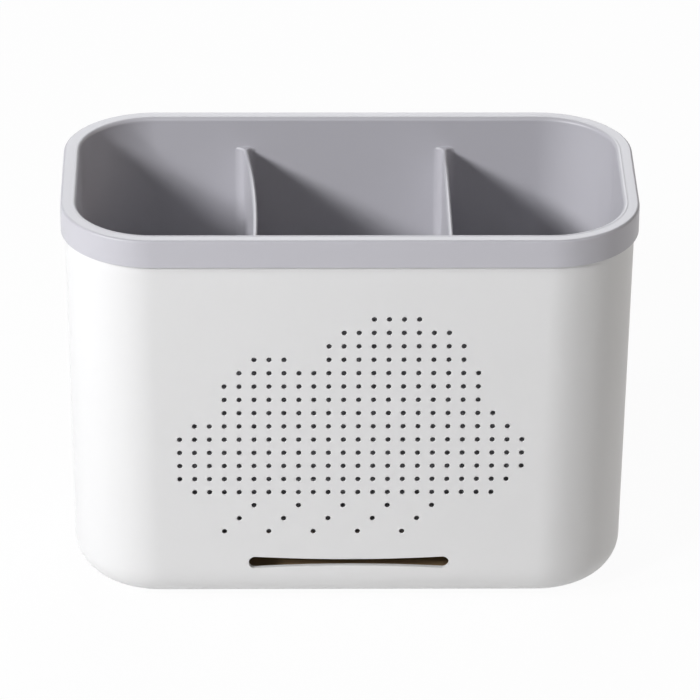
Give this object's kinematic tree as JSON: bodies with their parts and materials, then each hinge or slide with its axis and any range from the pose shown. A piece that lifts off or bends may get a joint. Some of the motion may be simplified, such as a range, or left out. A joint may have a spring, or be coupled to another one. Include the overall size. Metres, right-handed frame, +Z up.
{
  "type": "utensil holder",
  "caption": "Oblong utensil drainer: a white box with a cloud of drain holes, holding a lift-out grey basket with dividers over a drip tray.",
  "frame": {"origin": "on the table under the middle of the box, level with the undersides of the pads", "axes": "+X along the length, -Y out of the front with the holes, +Z up"},
  "size_m": [0.215, 0.1134, 0.155],
  "materials": {
    "white_shell": "satin white moulded plastic",
    "grey_basket": "satin cool grey moulded plastic",
    "tea_tray": "glossy tea-brown moulded plastic",
    "soft_pad": "matt dark grey soft pad"
  },
  "bodies": {
    "shell": {"outer_shell": "white_shell", "foot_front_left": "soft_pad", "foot_front_right": "soft_pad", "foot_back_left": "soft_pad", "foot_back_right": "soft_pad"},
    "tray": {"drip_tray": "tea_tray"},
    "basket": {"inner_basket": "grey_basket"}
  },
  "joints": [
    {"name": "tray_lift", "type": "slide", "parent": "shell", "child": "tray", "axis": [0, 0, 1], "range_m": [0, 0.16]},
    {"name": "basket_lift", "type": "slide", "parent": "tray", "child": "basket", "axis": [0, 0, 1], "range_m": [0, 0.14]}
  ]
}
